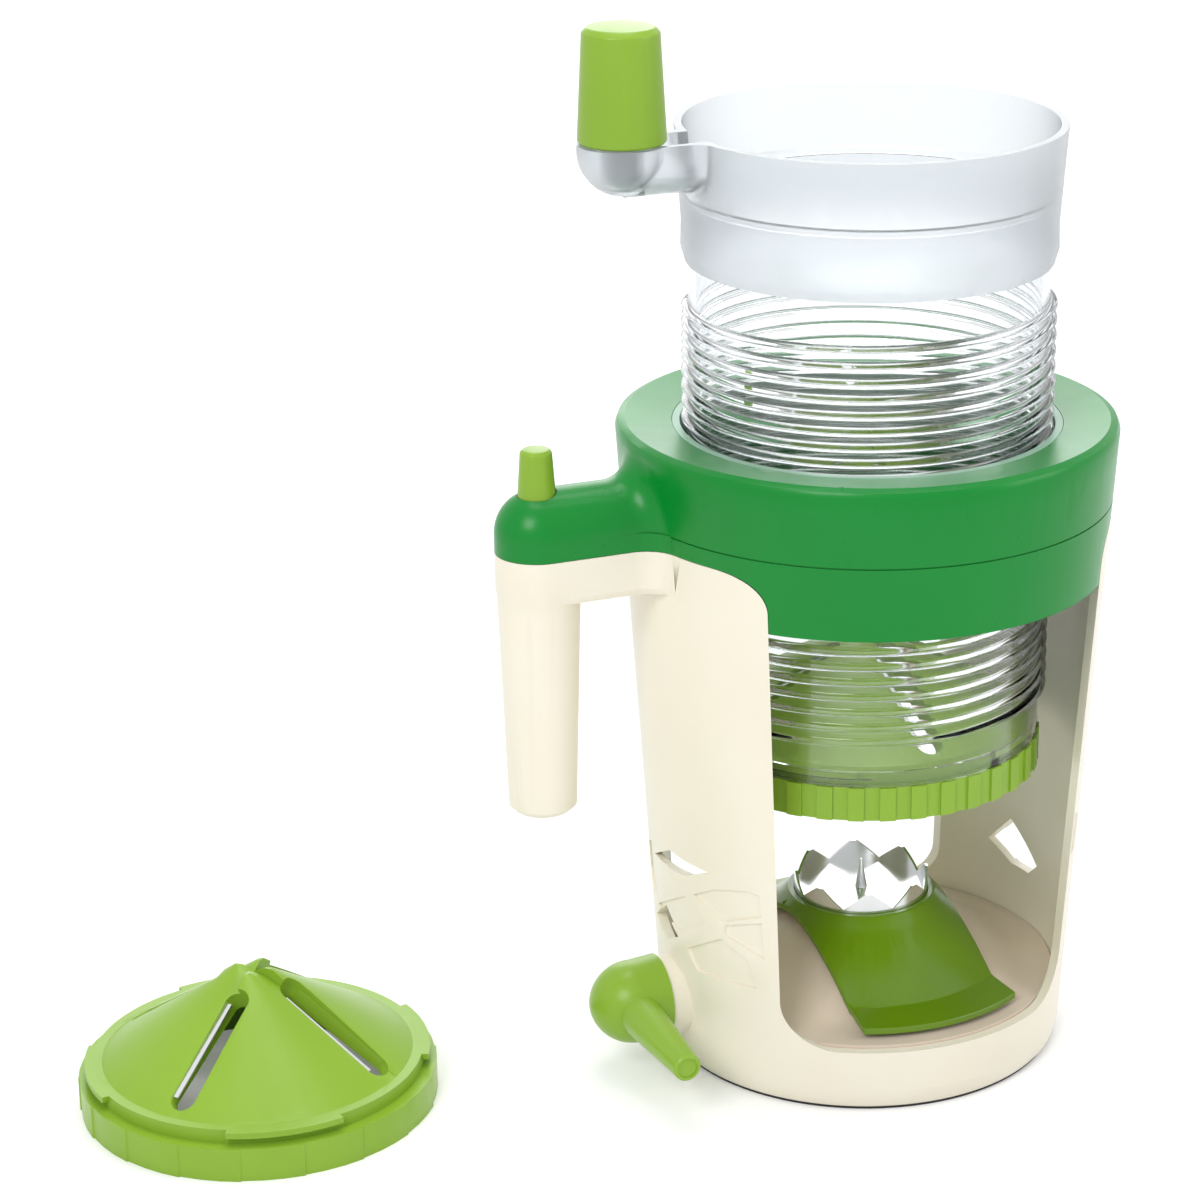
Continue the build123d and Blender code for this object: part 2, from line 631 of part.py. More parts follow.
def crank_collar():
    wall = CRANK_WALL
    seat = NECK_R + SEAT
    rim = turned([(0, CRANK_BOTTOM), (NECK_R + 1.2, CRANK_BOTTOM), (CRANK_FOOT_R, CRANK_FOOT),
                  (CRANK_FOOT_R - 0.2, CRANK_FOOT + 8), (RIM_R, RIM_Z), (0, RIM_Z)])
    centre = TROUGH_BOTTOM + TROUGH_HALF
    half = TROUGH_HALF
    trough = rod_x(half, -KNOB_X, -RIM_R + 8, z=centre)
    trough += block((-KNOB_X, -RIM_R + 8), (-half, half), (centre, RIM_Z))
    trough &= block((-KNOB_X, 0), (-half, half), (TROUGH_BOTTOM, RIM_Z))
    body = rim + trough
    joints = [e for e in body.edges()
              if -RIM_R - 1 < e.center().X < -CRANK_FOOT_R + 5 and e.center().Z < RIM_Z - 1
              and e.center().Z > TROUGH_BOTTOM - 1 and abs(e.center().Y) < half + 1]
    body = fillet(joints, 5.0)
    ball_z = RIM_Z - 2.0
    body += rod(CUP_R, ball_z, RIM_Z, -KNOB_X, 0)
    body += Pos(-KNOB_X, 0, ball_z) * Sphere(CUP_R) - block(
        (-2 * KNOB_X, 0), (-30, 30), (ball_z, RIM_Z + 30))
    inside = turned([(0, CRANK_BOTTOM - 1), (seat, CRANK_BOTTOM - 1), (seat, DRUM_TOP + SEAT),
                     (seat - 1.6, DRUM_TOP + SEAT), (seat - 1.6, DRUM_TOP + 1.6),
                     (CRANK_FOOT_R - wall, DRUM_TOP + 2.5), (RIM_R - wall, RIM_Z + 0.01),
                     (0, RIM_Z + 0.01)])
    body -= inside
    deep = half - TROUGH_WALL
    body -= rod_x(deep, -KNOB_X, -RIM_R + 12, z=centre)
    body -= block((-KNOB_X, -RIM_R + 12), (-deep, deep), (centre, RIM_Z + 1))
    hollow = CUP_R - TROUGH_WALL
    body -= rod(hollow, ball_z, RIM_Z + 1, -KNOB_X, 0)
    body -= Pos(-KNOB_X, 0, ball_z) * Sphere(hollow)
    body += rod(SPINDLE_R + 2.4, ball_z - CUP_R + 1.5, RIM_Z - 1.0, -KNOB_X, 0)
    body -= rod(SPINDLE_R + 0.02, ball_z - CUP_R + 4, RIM_Z + 1, -KNOB_X, 0)
    return body


def knob_spindle():
    low = RIM_Z - 2.0 - CUP_R + 4.2
    high = RIM_Z + KNOB_LENGTH - 6
    pin = rod(SPINDLE_R, low, high) + rod(SPINDLE_R + 1.3, high - 3, high)
    pin = chamfer(pin.edges().sort_by(Axis.Z)[-1], 0.8)
    pin -= block((-0.8, 0.8), (-10, 10), (high - 12, high + 1))
    return Pos(-KNOB_X, 0, 0) * pin


def crank_knob():
    low = RIM_Z + FREE
    high = low + KNOB_LENGTH
    head = RIM_Z + KNOB_LENGTH - 9
    body = turned([
        (0, low), (KNOB_BASE_R - 0.8, low), (KNOB_BASE_R, low + 0.8), (KNOB_END_R, high - 1.6),
        (KNOB_END_R - 1.6, high), (0, high),
    ])
    body -= rod(SPINDLE_R + RUNNING, low - 1, head + 1)
    body -= rod(SPINDLE_R + 1.3 + RUNNING + 0.1, head - FREE, head + 6.5)
    return Pos(-KNOB_X, 0, 0) * body


def slot_frame(quarter):
    """Frame on the cone's slope beside one edge line: x runs down the slope."""
    drop = CONE_APEX - RING_HIGH - PLUG_HIGH + 1
    slope = math.atan2(drop, CONE_R)
    radius = SLOT_START + SLOT_LENGTH / 2 * math.cos(slope)
    height = CONE_APEX - drop * radius / CONE_R
    place = Pos(radius, -SLOT_WIDTH * SLOT_ASIDE, height) * Rot(0, math.degrees(slope), 0)
    return Rot(0, 0, 90 * quarter) * place * Rot(0, 0, SLOT_SWING)


def cutter_blank(rim):
    """Cutter disc with its rim, bayonet plug and four-part cone with a slot in each part."""
    low_cone = RING_HIGH + PLUG_HIGH
    body = rim + rod(PLUG_R, RING_HIGH - 1, low_cone)
    cone = None
    for quarter in range(4):
        turn = math.radians(90 * quarter)
        shift = Pos(APEX_SHIFT * math.cos(turn), APEX_SHIFT * math.sin(turn), CONE_APEX)
        foot = Pos(0, 0, low_cone - 1) * Circle(CONE_R)
        whole = loft([foot, shift * Circle(1.4)], ruled=True)
        span = block((0, 2 * CONE_R), (0, 2 * CONE_R), (0, 2 * CONE_APEX))
        part = whole & (Rot(0, 0, 90 * quarter) * span)
        cone = part if cone is None else cone + part
    body += cone
    body -= turned([(0, -1), (BORE_R, -1), (BORE_R, low_cone - 2),
                    (0, CONE_APEX - CONE_WALL - 3.2)])
    pocket = extrude(SlotOverall(SLOT_LENGTH, SLOT_WIDTH), amount=-9, taper=20)
    pocket += extrude(SlotOverall(SLOT_LENGTH, SLOT_WIDTH), amount=6)
    blade = blade_strip(SEAT)
    for quarter in range(4):
        body -= slot_frame(quarter) * pocket
        body -= slot_frame(quarter) * blade
    for quarter in range(4):
        place = Rot(0, 0, 90 * quarter + LUG_CENTRE)
        body += place * arc_block(PLUG_R - 1, LUG_R, LUG_ANGLE, low_cone - LUG_HIGH, low_cone)
    return body


def blade_strip(grow=0.0):
    """Thin blade along one side of a slot, just under the slope's surface."""
    half = (SLOT_LENGTH - SLOT_WIDTH) / 2
    edge = BLADE_OUT - SLOT_WIDTH / 2
    return block((-half - grow, half + grow), (edge - BLADE_WIDE - grow, edge),
                 (-BLADE_SKIN - BLADE_THICK - grow, -BLADE_SKIN + grow))


def blade_set():
    return [slot_frame(quarter) * blade_strip() for quarter in range(4)]


def toothed_disc(steps):
    """Disc of the rim's height whose edge follows (angle, radius) steps all round."""
    points = [(radius * math.cos(math.radians(angle)), radius * math.sin(math.radians(angle)))
              for angle, radius in steps]
    return extrude(make_face(Polyline(*points, close=True)), amount=RING_HIGH)


def fluted_rim():
    """Fitted cutter's rim: flutes raised and lowered in turn."""
    steps = []
    pitch = 360 / FLUTES
    for flute in range(FLUTES):
        start = flute * pitch
        steps += [(start, RING_R - FLUTE_DEEP), (start + pitch / 2, RING_R - FLUTE_DEEP),
                  (start + pitch / 2, RING_R), (start + pitch, RING_R)]
    return toothed_disc(steps)


def stepped_rim():
    """Spare cutter's rim: long shallow steps like a ratchet."""
    steps = []
    pitch = 360 / SPARE_STEPS
    for step in range(SPARE_STEPS):
        for part in range(4):
            radius = RING_R - STEP_DEEP * (1 - part / 3)
            steps.append((STEP_PHASE + (step + 0.97 * part / 3) * pitch, radius))
    return toothed_disc(steps)


def fitted_place():
    """The lugs stand one notch width round from the drum's entry notches."""
    return Pos(0, 0, DRUM_BOTTOM - RING_HIGH - SEAT) * Rot(0, 0, LUG_ANGLE + LUG_PLAY - LUG_CENTRE)


def spare_place():
    return Pos(*SPARE_AT, 0) * Rot(0, 0, SPARE_TURN)


def button_flange():
    """Top of the flange that stops the button under the dome."""
    return SEAM + math.sqrt((HANDLE_R - SHELL) ** 2 - FLANGE_R ** 2) - FREE


def release_button():
    flange = button_flange()
    body = turned([
        (0, SPRING_SEAT - 1.5), (STEM_R, SPRING_SEAT - 1.5), (STEM_R, flange - 2.2),
        (FLANGE_R, flange - 2.2), (FLANGE_R, flange), (BUTTON_R, flange + 0.2),
        (BUTTON_R, flange + 4.5), (BUTTON_END_R, BUTTON_TOP - 0.9),
        (BUTTON_END_R - 0.9, BUTTON_TOP), (0, BUTTON_TOP),
    ])
    return Pos(-HANDLE_X, 0, 0) * body + wedge(0.0)


def wedge(grow):
    """Slanted blade under the button that draws the latch back."""
    top = SPRING_SEAT - 1.0
    drop = top - ARM_UNDER - GRIP_WALL + WEDGE_BELOW
    middle = -HANDLE_X - STEM_R + WEDGE_HALF
    half = 1.25 + grow
    lean = WEDGE_SLOPE * drop
    face = Plane.XZ * outline([
        (middle - half, top), (middle + half, top),
        (middle + lean + half, top - drop), (middle + lean - half, top - drop),
    ])
    return extrude(face, amount=WEDGE_HALF + grow, both=True)


def button_spring():
    """Coil between the seat in the arm and the button's flange."""
    high = button_flange() - 2.2 - SEAT
    low = SPRING_SEAT + SEAT
    half = SPRING_WIRE / 2
    pitch = (high - low - SPRING_WIRE) / SPRING_TURNS
    path = coil_path(SPRING_R, pitch, SPRING_TURNS)
    section = Plane(origin=path @ 0, z_dir=path % 0) * RegularPolygon(half, 4)
    wire = sweep(section, path=path)
    spread = wire.volume / (path.length * RegularPolygon(half, 4).area)
    print("button_spring least gap", round(pitch - SPRING_WIRE, 2), "mm, volume over section",
          "times length", round(spread, 4))
    return Pos(-HANDLE_X, 0, low + half) * wire


def coil_path(radius, pitch, turns):
    """Coil from z = 0 upwards, each half turn as two tangent arcs."""
    rise = pitch / (2 * math.pi * radius)
    edges = []
    for half_turn in range(2 * turns):
        ends = []
        for angle in (math.pi * half_turn, math.pi * (half_turn + 1)):
            point = Vector(radius * math.cos(angle), radius * math.sin(angle),
                           pitch * angle / (2 * math.pi))
            way = Vector(-math.sin(angle), math.cos(angle), rise).normalized()
            ends.append((point, way))
        edges += biarc(*ends[0], *ends[1])
    return Wire(edges)


def biarc(start, leave, end, arrive):
    """Two arcs that leave and arrive along the given directions."""
    span = end - start
    both = leave + arrive
    spread = 2 * (1 - leave.dot(arrive))
    reach = (-span.dot(both) + math.sqrt(span.dot(both) ** 2 + spread * span.dot(span))) / spread
    middle = (start + leave * reach + end - arrive * reach) / 2
    first = TangentArc(start, middle, tangent=leave)
    second = TangentArc(middle, end, tangent=first % 1)
    return [first, second]


def thread_latch():
    """Slide with teeth that stand between the drum's ribs."""
    low = ARM_UNDER + GRIP_WALL + FREE
    high = SEAM - SHELL - FREE
    tip = NECK_R + LATCH_BITE
    thick_end = -HANDLE_X + LATCH_THIN
    body = block((thick_end - 1, -tip + 2), (-LATCH_HALF, LATCH_HALF), (low, high))
    body += block((-HANDLE_X - 5, thick_end), (-LATCH_HALF, LATCH_HALF), (low, low + LATCH_PLATE))
    body -= rod(tip, low - 1, high + 1)
    crest = NECK_R + RIB_HIGH + FREE
    first = rib_height(180)
    for turn in range(RIB_TURNS):
        z = first + LEAD * turn
        if low - LEAD / 2 < z < high + LEAD / 2:
            body -= turned([(tip - 1, z - RIB_BASE / 2 - 0.25), (crest, z - 0.45),
                            (crest, z + 0.45), (tip - 1, z + RIB_BASE / 2 + 0.25)])
    return body - wedge(0.2)


def write(node, shape):
    export_step(shape, f"parts/{node}.step")


os.makedirs("parts", exist_ok=True)

write("stand_housing", stand_housing())
write("base_floor", base_floor())
write("base_plate", base_plate())
write("base_screws", base_screws())
write("suction_cup", suction_cup())
write("suction_stem", suction_stem())
write("lever_shaft", lever_shaft())
write("suction_lever", suction_lever())
write("holder_plate", holder_plate())
write("spike_crown", spike_crown())
write("collar_upper_shell", collar_upper_shell())
write("collar_lower_shell", collar_lower_shell())
write("collar_screws", collar_screws())
write("slip_ring", slip_ring())
write("drum_tube", drum_tube())
write("crank_collar", crank_collar())
write("knob_spindle", knob_spindle())
write("crank_knob", crank_knob())
write("fitted_cutter", fitted_place() * cutter_blank(fluted_rim()))
write("fitted_blades", fitted_place() * Compound(children=blade_set()))
write("spare_cutter", spare_place() * cutter_blank(stepped_rim()))
write("spare_blades", spare_place() * Compound(children=blade_set()))
write("release_button", release_button())
write("button_spring", button_spring())
write("thread_latch", thread_latch())
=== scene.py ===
import math
import bmesh
import bpy
from mathutils import Matrix, Vector


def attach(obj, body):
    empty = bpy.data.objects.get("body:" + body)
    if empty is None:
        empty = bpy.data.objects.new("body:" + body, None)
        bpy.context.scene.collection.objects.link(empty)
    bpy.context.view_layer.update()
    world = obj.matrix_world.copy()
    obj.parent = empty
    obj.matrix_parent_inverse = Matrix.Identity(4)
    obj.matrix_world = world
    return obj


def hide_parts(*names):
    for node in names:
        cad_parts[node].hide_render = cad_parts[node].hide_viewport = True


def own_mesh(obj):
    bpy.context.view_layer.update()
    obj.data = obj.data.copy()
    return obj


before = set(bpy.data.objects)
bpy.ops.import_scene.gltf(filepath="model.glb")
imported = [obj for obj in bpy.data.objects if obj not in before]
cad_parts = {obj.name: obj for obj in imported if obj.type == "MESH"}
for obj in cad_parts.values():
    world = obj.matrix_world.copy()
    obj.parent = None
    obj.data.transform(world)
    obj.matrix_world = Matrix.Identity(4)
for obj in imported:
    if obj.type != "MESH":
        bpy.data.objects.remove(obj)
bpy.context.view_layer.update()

# ---- view ----
# The tool is seen from a little above and from the handle's side, through a long lens.
# Its optical axis lies left of the picture's middle, which the small shift gives back.
LENS_MM = 103.18
SENSOR_MM = 36.0
CAMERA_AT = (-0.4473, -0.9315, 0.52807)
CAMERA_PITCH = 69.8335
CAMERA_HEADING = -23.4
CAMERA_SHIFT = -0.1149

lens = bpy.data.cameras.new("studio_camera")
lens.lens = LENS_MM
lens.sensor_width = SENSOR_MM
lens.sensor_fit = "HORIZONTAL"
lens.shift_x = CAMERA_SHIFT
lens.clip_start = 0.05
camera = bpy.data.objects.new("studio_camera", lens)
camera.location = CAMERA_AT
camera.rotation_euler = (math.radians(CAMERA_PITCH), 0.0, math.radians(CAMERA_HEADING))
bpy.context.scene.collection.objects.link(camera)
bpy.context.scene.camera = camera
bpy.context.scene.view_settings.view_transform = "Standard"

# ---- studio ----
# A white table top without an edge stands in a white room, under four large soft lamps.
# The camera, reflections and clear walls see plain white; the lamps light the tool.
TABLE_SIZE = 5.0
TABLE_PAINT = 0.86
TABLE_LIFT = 0.17        # what the camera sees of the table beyond its lit paint
ROOM_LIGHT = 0.62        # soft light of the room on the tool
ROOM_TONE = (0.97, 0.98, 1.0)


def seen_directly(tree):
    """1 for a ray from the camera, a reflection or a clear wall, otherwise 0."""
    path = tree.nodes.new("ShaderNodeLightPath")
    seen = None
    for kind in ("Is Camera Ray", "Is Transmission Ray", "Is Glossy Ray"):
        if seen is None:
            seen = path.outputs[kind]
            continue
        either = tree.nodes.new("ShaderNodeMath")
        either.operation = "MAXIMUM"
        tree.links.new(seen, either.inputs[0])
        tree.links.new(path.outputs[kind], either.inputs[1])
        seen = either.outputs[0]
    return seen


room = bpy.data.worlds.new("white_room")
bpy.context.scene.world = room
room.use_nodes = True
room_tree = room.node_tree
room_tree.nodes.clear()
room_soft = room_tree.nodes.new("ShaderNodeBackground")
room_soft.inputs["Color"].default_value = (*ROOM_TONE, 1.0)
room_soft.inputs["Strength"].default_value = ROOM_LIGHT
room_white = room_tree.nodes.new("ShaderNodeBackground")
room_white.inputs["Color"].default_value = (1.0, 1.0, 1.0, 1.0)
room_mix = room_tree.nodes.new("ShaderNodeMixShader")
room_out = room_tree.nodes.new("ShaderNodeOutputWorld")
room_tree.links.new(seen_directly(room_tree), room_mix.inputs["Fac"])
room_tree.links.new(room_soft.outputs[0], room_mix.inputs[1])
room_tree.links.new(room_white.outputs[0], room_mix.inputs[2])
room_tree.links.new(room_mix.outputs[0], room_out.inputs["Surface"])

table_paint = bpy.data.materials.new("table_paint")
table_paint.use_nodes = True
table_tree = table_paint.node_tree
table_skin = table_tree.nodes["Principled BSDF"]
table_skin.inputs["Base Color"].default_value = (TABLE_PAINT, TABLE_PAINT, TABLE_PAINT, 1.0)
table_skin.inputs["Roughness"].default_value = 0.9
table_skin.inputs["Specular IOR Level"].default_value = 0.0
table_skin.inputs["Emission Color"].default_value = (1.0, 1.0, 1.0, 1.0)
table_lift = table_tree.nodes.new("ShaderNodeMath")
table_lift.operation = "MULTIPLY"
table_lift.inputs[1].default_value = TABLE_LIFT
table_tree.links.new(seen_directly(table_tree), table_lift.inputs[0])
table_tree.links.new(table_lift.outputs[0], table_skin.inputs["Emission Strength"])

half = TABLE_SIZE / 2
table_mesh = bpy.data.meshes.new("table_top")
table_mesh.from_pydata([(-half, -half, 0), (half, -half, 0), (half, half, 0), (-half, half, 0)],
                       [], [(0, 1, 2, 3)])
table_mesh.materials.append(table_paint)
table_top = bpy.data.objects.new("table_top", table_mesh)
bpy.context.scene.collection.objects.link(table_top)

SOFT_LAMPS = (
    # name, size, place, power, colour
    ("key_box", 0.9, (-1.35, -1.15, 1.55), 21.0, (1.0, 1.0, 1.0)),
    ("fill_box", 1.2, (1.70, -1.25, 1.10), 13.0, (1.0, 1.0, 1.0)),
    ("top_box", 1.2, (0.10, 0.35, 2.10), 17.0, (1.0, 1.0, 1.0)),
    ("back_box", 1.2, (0.60, 1.90, 0.90), 9.0, (0.97, 0.99, 1.0)),
)
LAMPS_AIM = Vector((0.0, 0.0, 0.16))
for name, size, place, power, colour in SOFT_LAMPS:
    lamp = bpy.data.lights.new(name, "AREA")
    lamp.shape = "SQUARE"
    lamp.size = size
    lamp.energy = power
    lamp.color = colour
    lamp_stand = bpy.data.objects.new(name, lamp)
    lamp_stand.location = place
    lamp_stand.rotation_euler = (LAMPS_AIM - Vector(place)).to_track_quat("-Z", "Y").to_euler()
    bpy.context.scene.collection.objects.link(lamp_stand)

# ---- stand housing ----
# The stand is one tapered tube of glossy cream plastic, injection moulded with its window,
# its woven band and the grip. The moulding has a faint orange-peel skin and soft edges.
CREAM = (0.86, 0.81, 0.68)
CREAM_DEEP = (0.83, 0.77, 0.63)
CREAM_GLOSS = 0.26
MOULD_EDGE = 0.0004      # radius of a moulded edge
MOULD_CORNER = 32.0      # degrees; a fold sharper than this is an edge
PAINTED_EDGE_SHADE_NARROWNESS = 3.5     # how fast the painted shade on a clear wall's edges fades inwards
CLOUD_SCALE = 14.0       # patches of tone, per metre
CLOUD_DETAIL = 3.0
CLOUD_SPREAD = (0.30, 0.70)
SCUFF_SCALE = 160.0      # finer patches of gloss, per metre
SCUFF_DETAIL = 4.0
GRAIN_DETAIL = 2.0
GRAIN_DEPTH = 0.00004
PLASTIC_IOR = 1.49
WELD_DISTANCE = 0.000002
FLAT_ENOUGH = 0.4        # degrees; facets that meet flatter than this become one


def moulded_surface():
    """Shader group: cloudy tone, uneven gloss and fine grain of a moulded surface."""
    group = bpy.data.node_groups.new("moulded_surface", "ShaderNodeTree")
    face = group.interface
    for name, kind in (("Colour", "Color"), ("Deep Colour", "Color"), ("Gloss", "Float"),
                       ("Patchiness", "Float"), ("Grain Size", "Float"),
                       ("Grain Height", "Float")):
        face.new_socket(name, in_out="INPUT", socket_type="NodeSocket" + kind)
    for name, kind in (("Colour", "Color"), ("Roughness", "Float"), ("Normal", "Vector")):
        face.new_socket(name, in_out="OUTPUT", socket_type="NodeSocket" + kind)
    link = group.links.new
    into = group.nodes.new("NodeGroupInput")
    out = group.nodes.new("NodeGroupOutput")
    place = group.nodes.new("ShaderNodeTexCoord")
    cloud = group.nodes.new("ShaderNodeTexNoise")
    cloud.inputs["Scale"].default_value = CLOUD_SCALE
    cloud.inputs["Detail"].default_value = CLOUD_DETAIL
    grain = group.nodes.new("ShaderNodeTexNoise")
    grain.inputs["Detail"].default_value = GRAIN_DETAIL
    spread = group.nodes.new("ShaderNodeMapRange")
    spread.inputs["From Min"].default_value = CLOUD_SPREAD[0]
    spread.inputs["From Max"].default_value = CLOUD_SPREAD[1]
    tone = group.nodes.new("ShaderNodeMix")
    tone.data_type = "RGBA"
    scuff = group.nodes.new("ShaderNodeTexNoise")
    scuff.inputs["Scale"].default_value = SCUFF_SCALE
    scuff.inputs["Detail"].default_value = SCUFF_DETAIL
    patchy = group.nodes.new("ShaderNodeMath")
    patchy.operation = "MULTIPLY_ADD"
    rough = group.nodes.new("ShaderNodeMath")
    rough.operation = "MULTIPLY_ADD"
    bump = group.nodes.new("ShaderNodeBump")
    bump.inputs["Distance"].default_value = GRAIN_DEPTH
    for texture in (cloud, grain, scuff):
        link(place.outputs["Object"], texture.inputs["Vector"])
    link(into.outputs["Grain Size"], grain.inputs["Scale"])
    link(cloud.outputs["Fac"], spread.inputs["Value"])
    link(spread.outputs["Result"], tone.inputs["Factor"])
    link(into.outputs["Colour"], tone.inputs["A"])
    link(into.outputs["Deep Colour"], tone.inputs["B"])
    link(cloud.outputs["Fac"], patchy.inputs[0])
    link(into.outputs["Patchiness"], patchy.inputs[1])
    link(into.outputs["Gloss"], patchy.inputs[2])
    link(scuff.outputs["Fac"], rough.inputs[0])
    link(into.outputs["Patchiness"], rough.inputs[1])
    link(patchy.outputs[0], rough.inputs[2])
    link(grain.outputs["Fac"], bump.inputs["Height"])
    link(into.outputs["Grain Height"], bump.inputs["Strength"])
    link(tone.outputs["Result"], out.inputs["Colour"])
    link(rough.outputs[0], out.inputs["Roughness"])
    link(bump.outputs["Normal"], out.inputs["Normal"])
    return group


moulding = moulded_surface()


def moulded_plastic(name, colour, deep, gloss, grain_size=1400.0, grain_height=0.12,
                    shine=0.35, clearness=0.0, painted_edge_shade=None, patchiness=0.07):
    """Plastic with the moulded finish; clearness lets light through it, and an edge colour paints
    shade on the edges that turn away from view.
    """
    paint = bpy.data.materials.new(name)
    paint.use_nodes = True
    tree = paint.node_tree
    skin = tree.nodes["Principled BSDF"]
    skin.inputs["IOR"].default_value = PLASTIC_IOR
    skin.inputs["Specular IOR Level"].default_value = shine
    skin.inputs["Transmission Weight"].default_value = clearness
    finish = tree.nodes.new("ShaderNodeGroup")
    finish.node_tree = moulding
    finish.inputs["Colour"].default_value = (*colour, 1.0)
    finish.inputs["Deep Colour"].default_value = (*deep, 1.0)
    finish.inputs["Gloss"].default_value = gloss
    finish.inputs["Patchiness"].default_value = patchiness
    finish.inputs["Grain Size"].default_value = grain_size
    finish.inputs["Grain Height"].default_value = grain_height
    tone = finish.outputs["Colour"]
    # The edge colour is painted shade: mixed in where the surface turns away from view, it
    # darkens the edges of clear walls.
    if painted_edge_shade:
        edge_shade_facing = tree.nodes.new("ShaderNodeLayerWeight")
        edge_shade_falloff = tree.nodes.new("ShaderNodeMath")
        edge_shade_falloff.operation = "POWER"
        edge_shade_falloff.inputs[1].default_value = PAINTED_EDGE_SHADE_NARROWNESS
        edge_shade_mix = tree.nodes.new("ShaderNodeMix")
        edge_shade_mix.data_type = "RGBA"
        edge_shade_mix.inputs["B"].default_value = (*painted_edge_shade, 1.0)
        tree.links.new(edge_shade_facing.outputs["Facing"], edge_shade_falloff.inputs[0])
        tree.links.new(edge_shade_falloff.outputs[0], edge_shade_mix.inputs["Factor"])
        tree.links.new(tone, edge_shade_mix.inputs["A"])
        tone = edge_shade_mix.outputs["Result"]
    tree.links.new(tone, skin.inputs["Base Color"])
    tree.links.new(finish.outputs["Roughness"], skin.inputs["Roughness"])
    tree.links.new(finish.outputs["Normal"], skin.inputs["Normal"])
    return paint


def moulding_of(node, body, paint, edge=MOULD_EDGE):
    """The node's form again as one smooth skin with softly rounded edges."""
    form = bmesh.new()
    form.from_mesh(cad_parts[node].data)
    bmesh.ops.remove_doubles(form, verts=form.verts, dist=WELD_DISTANCE)
    bmesh.ops.dissolve_limit(form, angle_limit=math.radians(FLAT_ENOUGH), verts=form.verts,
                             edges=form.edges, delimit=set())
    mesh = bpy.data.meshes.new(node + "_skin")
    form.to_mesh(mesh)
    form.free()
    mesh.shade_smooth()
    mesh.set_sharp_from_angle(angle=math.radians(MOULD_CORNER))
    mesh.materials.clear()
    mesh.materials.append(paint)
    piece = bpy.data.objects.new(node + "_skin", mesh)
    bpy.context.scene.collection.objects.link(piece)
    if edge:
        soften = piece.modifiers.new("soft_edges", "BEVEL")
        soften.width = edge
        soften.segments = 3
        soften.limit_method = "ANGLE"
        soften.angle_limit = math.radians(MOULD_CORNER)
        soften.harden_normals = True
    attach(piece, body)
    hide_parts(node)
    return piece


cream_plastic = moulded_plastic("cream_plastic", CREAM, CREAM_DEEP, CREAM_GLOSS)
moulding_of("stand_housing", "stand", cream_plastic)

# ---- floor of the feed window ----
# A separate insert of duller cream closes the stand's foot; its colour is darker and warmer than
# the stand's, with the shade of the window's recess painted into it. It is domed, so that juice
# runs off it, and the four screws of the foot plate hold it down.
FLOOR_CREAM_WITH_PAINTED_SHADE = (0.72, 0.61, 0.50)
FLOOR_CREAM_DEEP_WITH_PAINTED_SHADE = (0.69, 0.57, 0.46)
WARM_CREAM_GLOSS = 0.36

floor_plastic_with_painted_shade = moulded_plastic("floor_plastic_with_painted_shade", FLOOR_CREAM_WITH_PAINTED_SHADE, FLOOR_CREAM_DEEP_WITH_PAINTED_SHADE,
                                     WARM_CREAM_GLOSS)
moulding_of("base_floor", "stand", floor_plastic_with_painted_shade)

# ---- foot and suction works ----
# A black rubber ring carries the stand. A plate above it holds the lever's shaft, and a
# plain moulded stem with a yoke lifts the middle of the foot when the shaft turns.
FOOT_BLACK = (0.018, 0.015, 0.015)
FOOT_DUST = (0.026, 0.022, 0.021)
FOOT_GLOSS = 0.50
FOOT_GRAIN = (900.0, 0.3)    # grains per metre, height
PLAIN_CREAM = (0.70, 0.67, 0.60)
PLAIN_CREAM_DEEP = (0.66, 0.63, 0.56)
PLAIN_GLOSS = 0.40

foot_rubber = moulded_plastic("foot_rubber", FOOT_BLACK, FOOT_DUST, FOOT_GLOSS,
                              grain_size=FOOT_GRAIN[0], grain_height=FOOT_GRAIN[1])
plain_plastic = moulded_plastic("plain_plastic", PLAIN_CREAM, PLAIN_CREAM_DEEP, PLAIN_GLOSS)
moulding_of("suction_cup", "stand", foot_rubber)
moulding_of("base_plate", "stand", plain_plastic, edge=0.0)
moulding_of("suction_stem", "stem", plain_plastic, edge=0.0)

# ---- screws ----
# Zinc-plated self-tapping screws with hexagonal heads hold the plate to the floor, and
# the two halves of the collar to each other. They go in from below.
ZINC = (0.55, 0.55, 0.56)
ZINC_ROUGHNESS = 0.28
SCREW_RADIUS = 0.0015
SCREW_ROOT = 0.0012      # radius between the threads
SHANK_SIDES = 14
HEAD_RADIUS = 0.003
HEAD_HEIGHT = 0.0012
THREAD_RISE = 0.00125
STEEL_CLOUD_SCALE = 60.0
STEEL_DIM = 0.94         # the duller patches of a steel surface
STEEL_LINE_DEPTH = 0.12
PLATE_SCREWS = {"node": "base_screws", "circle": 0.050, "first": 45.0, "face": 0.00565,
                "turns": 9}
COLLAR_SCREWS = {"node": "collar_screws", "circle": 0.0665, "first": 50.0, "face": 0.1844,
                 "turns": 10}


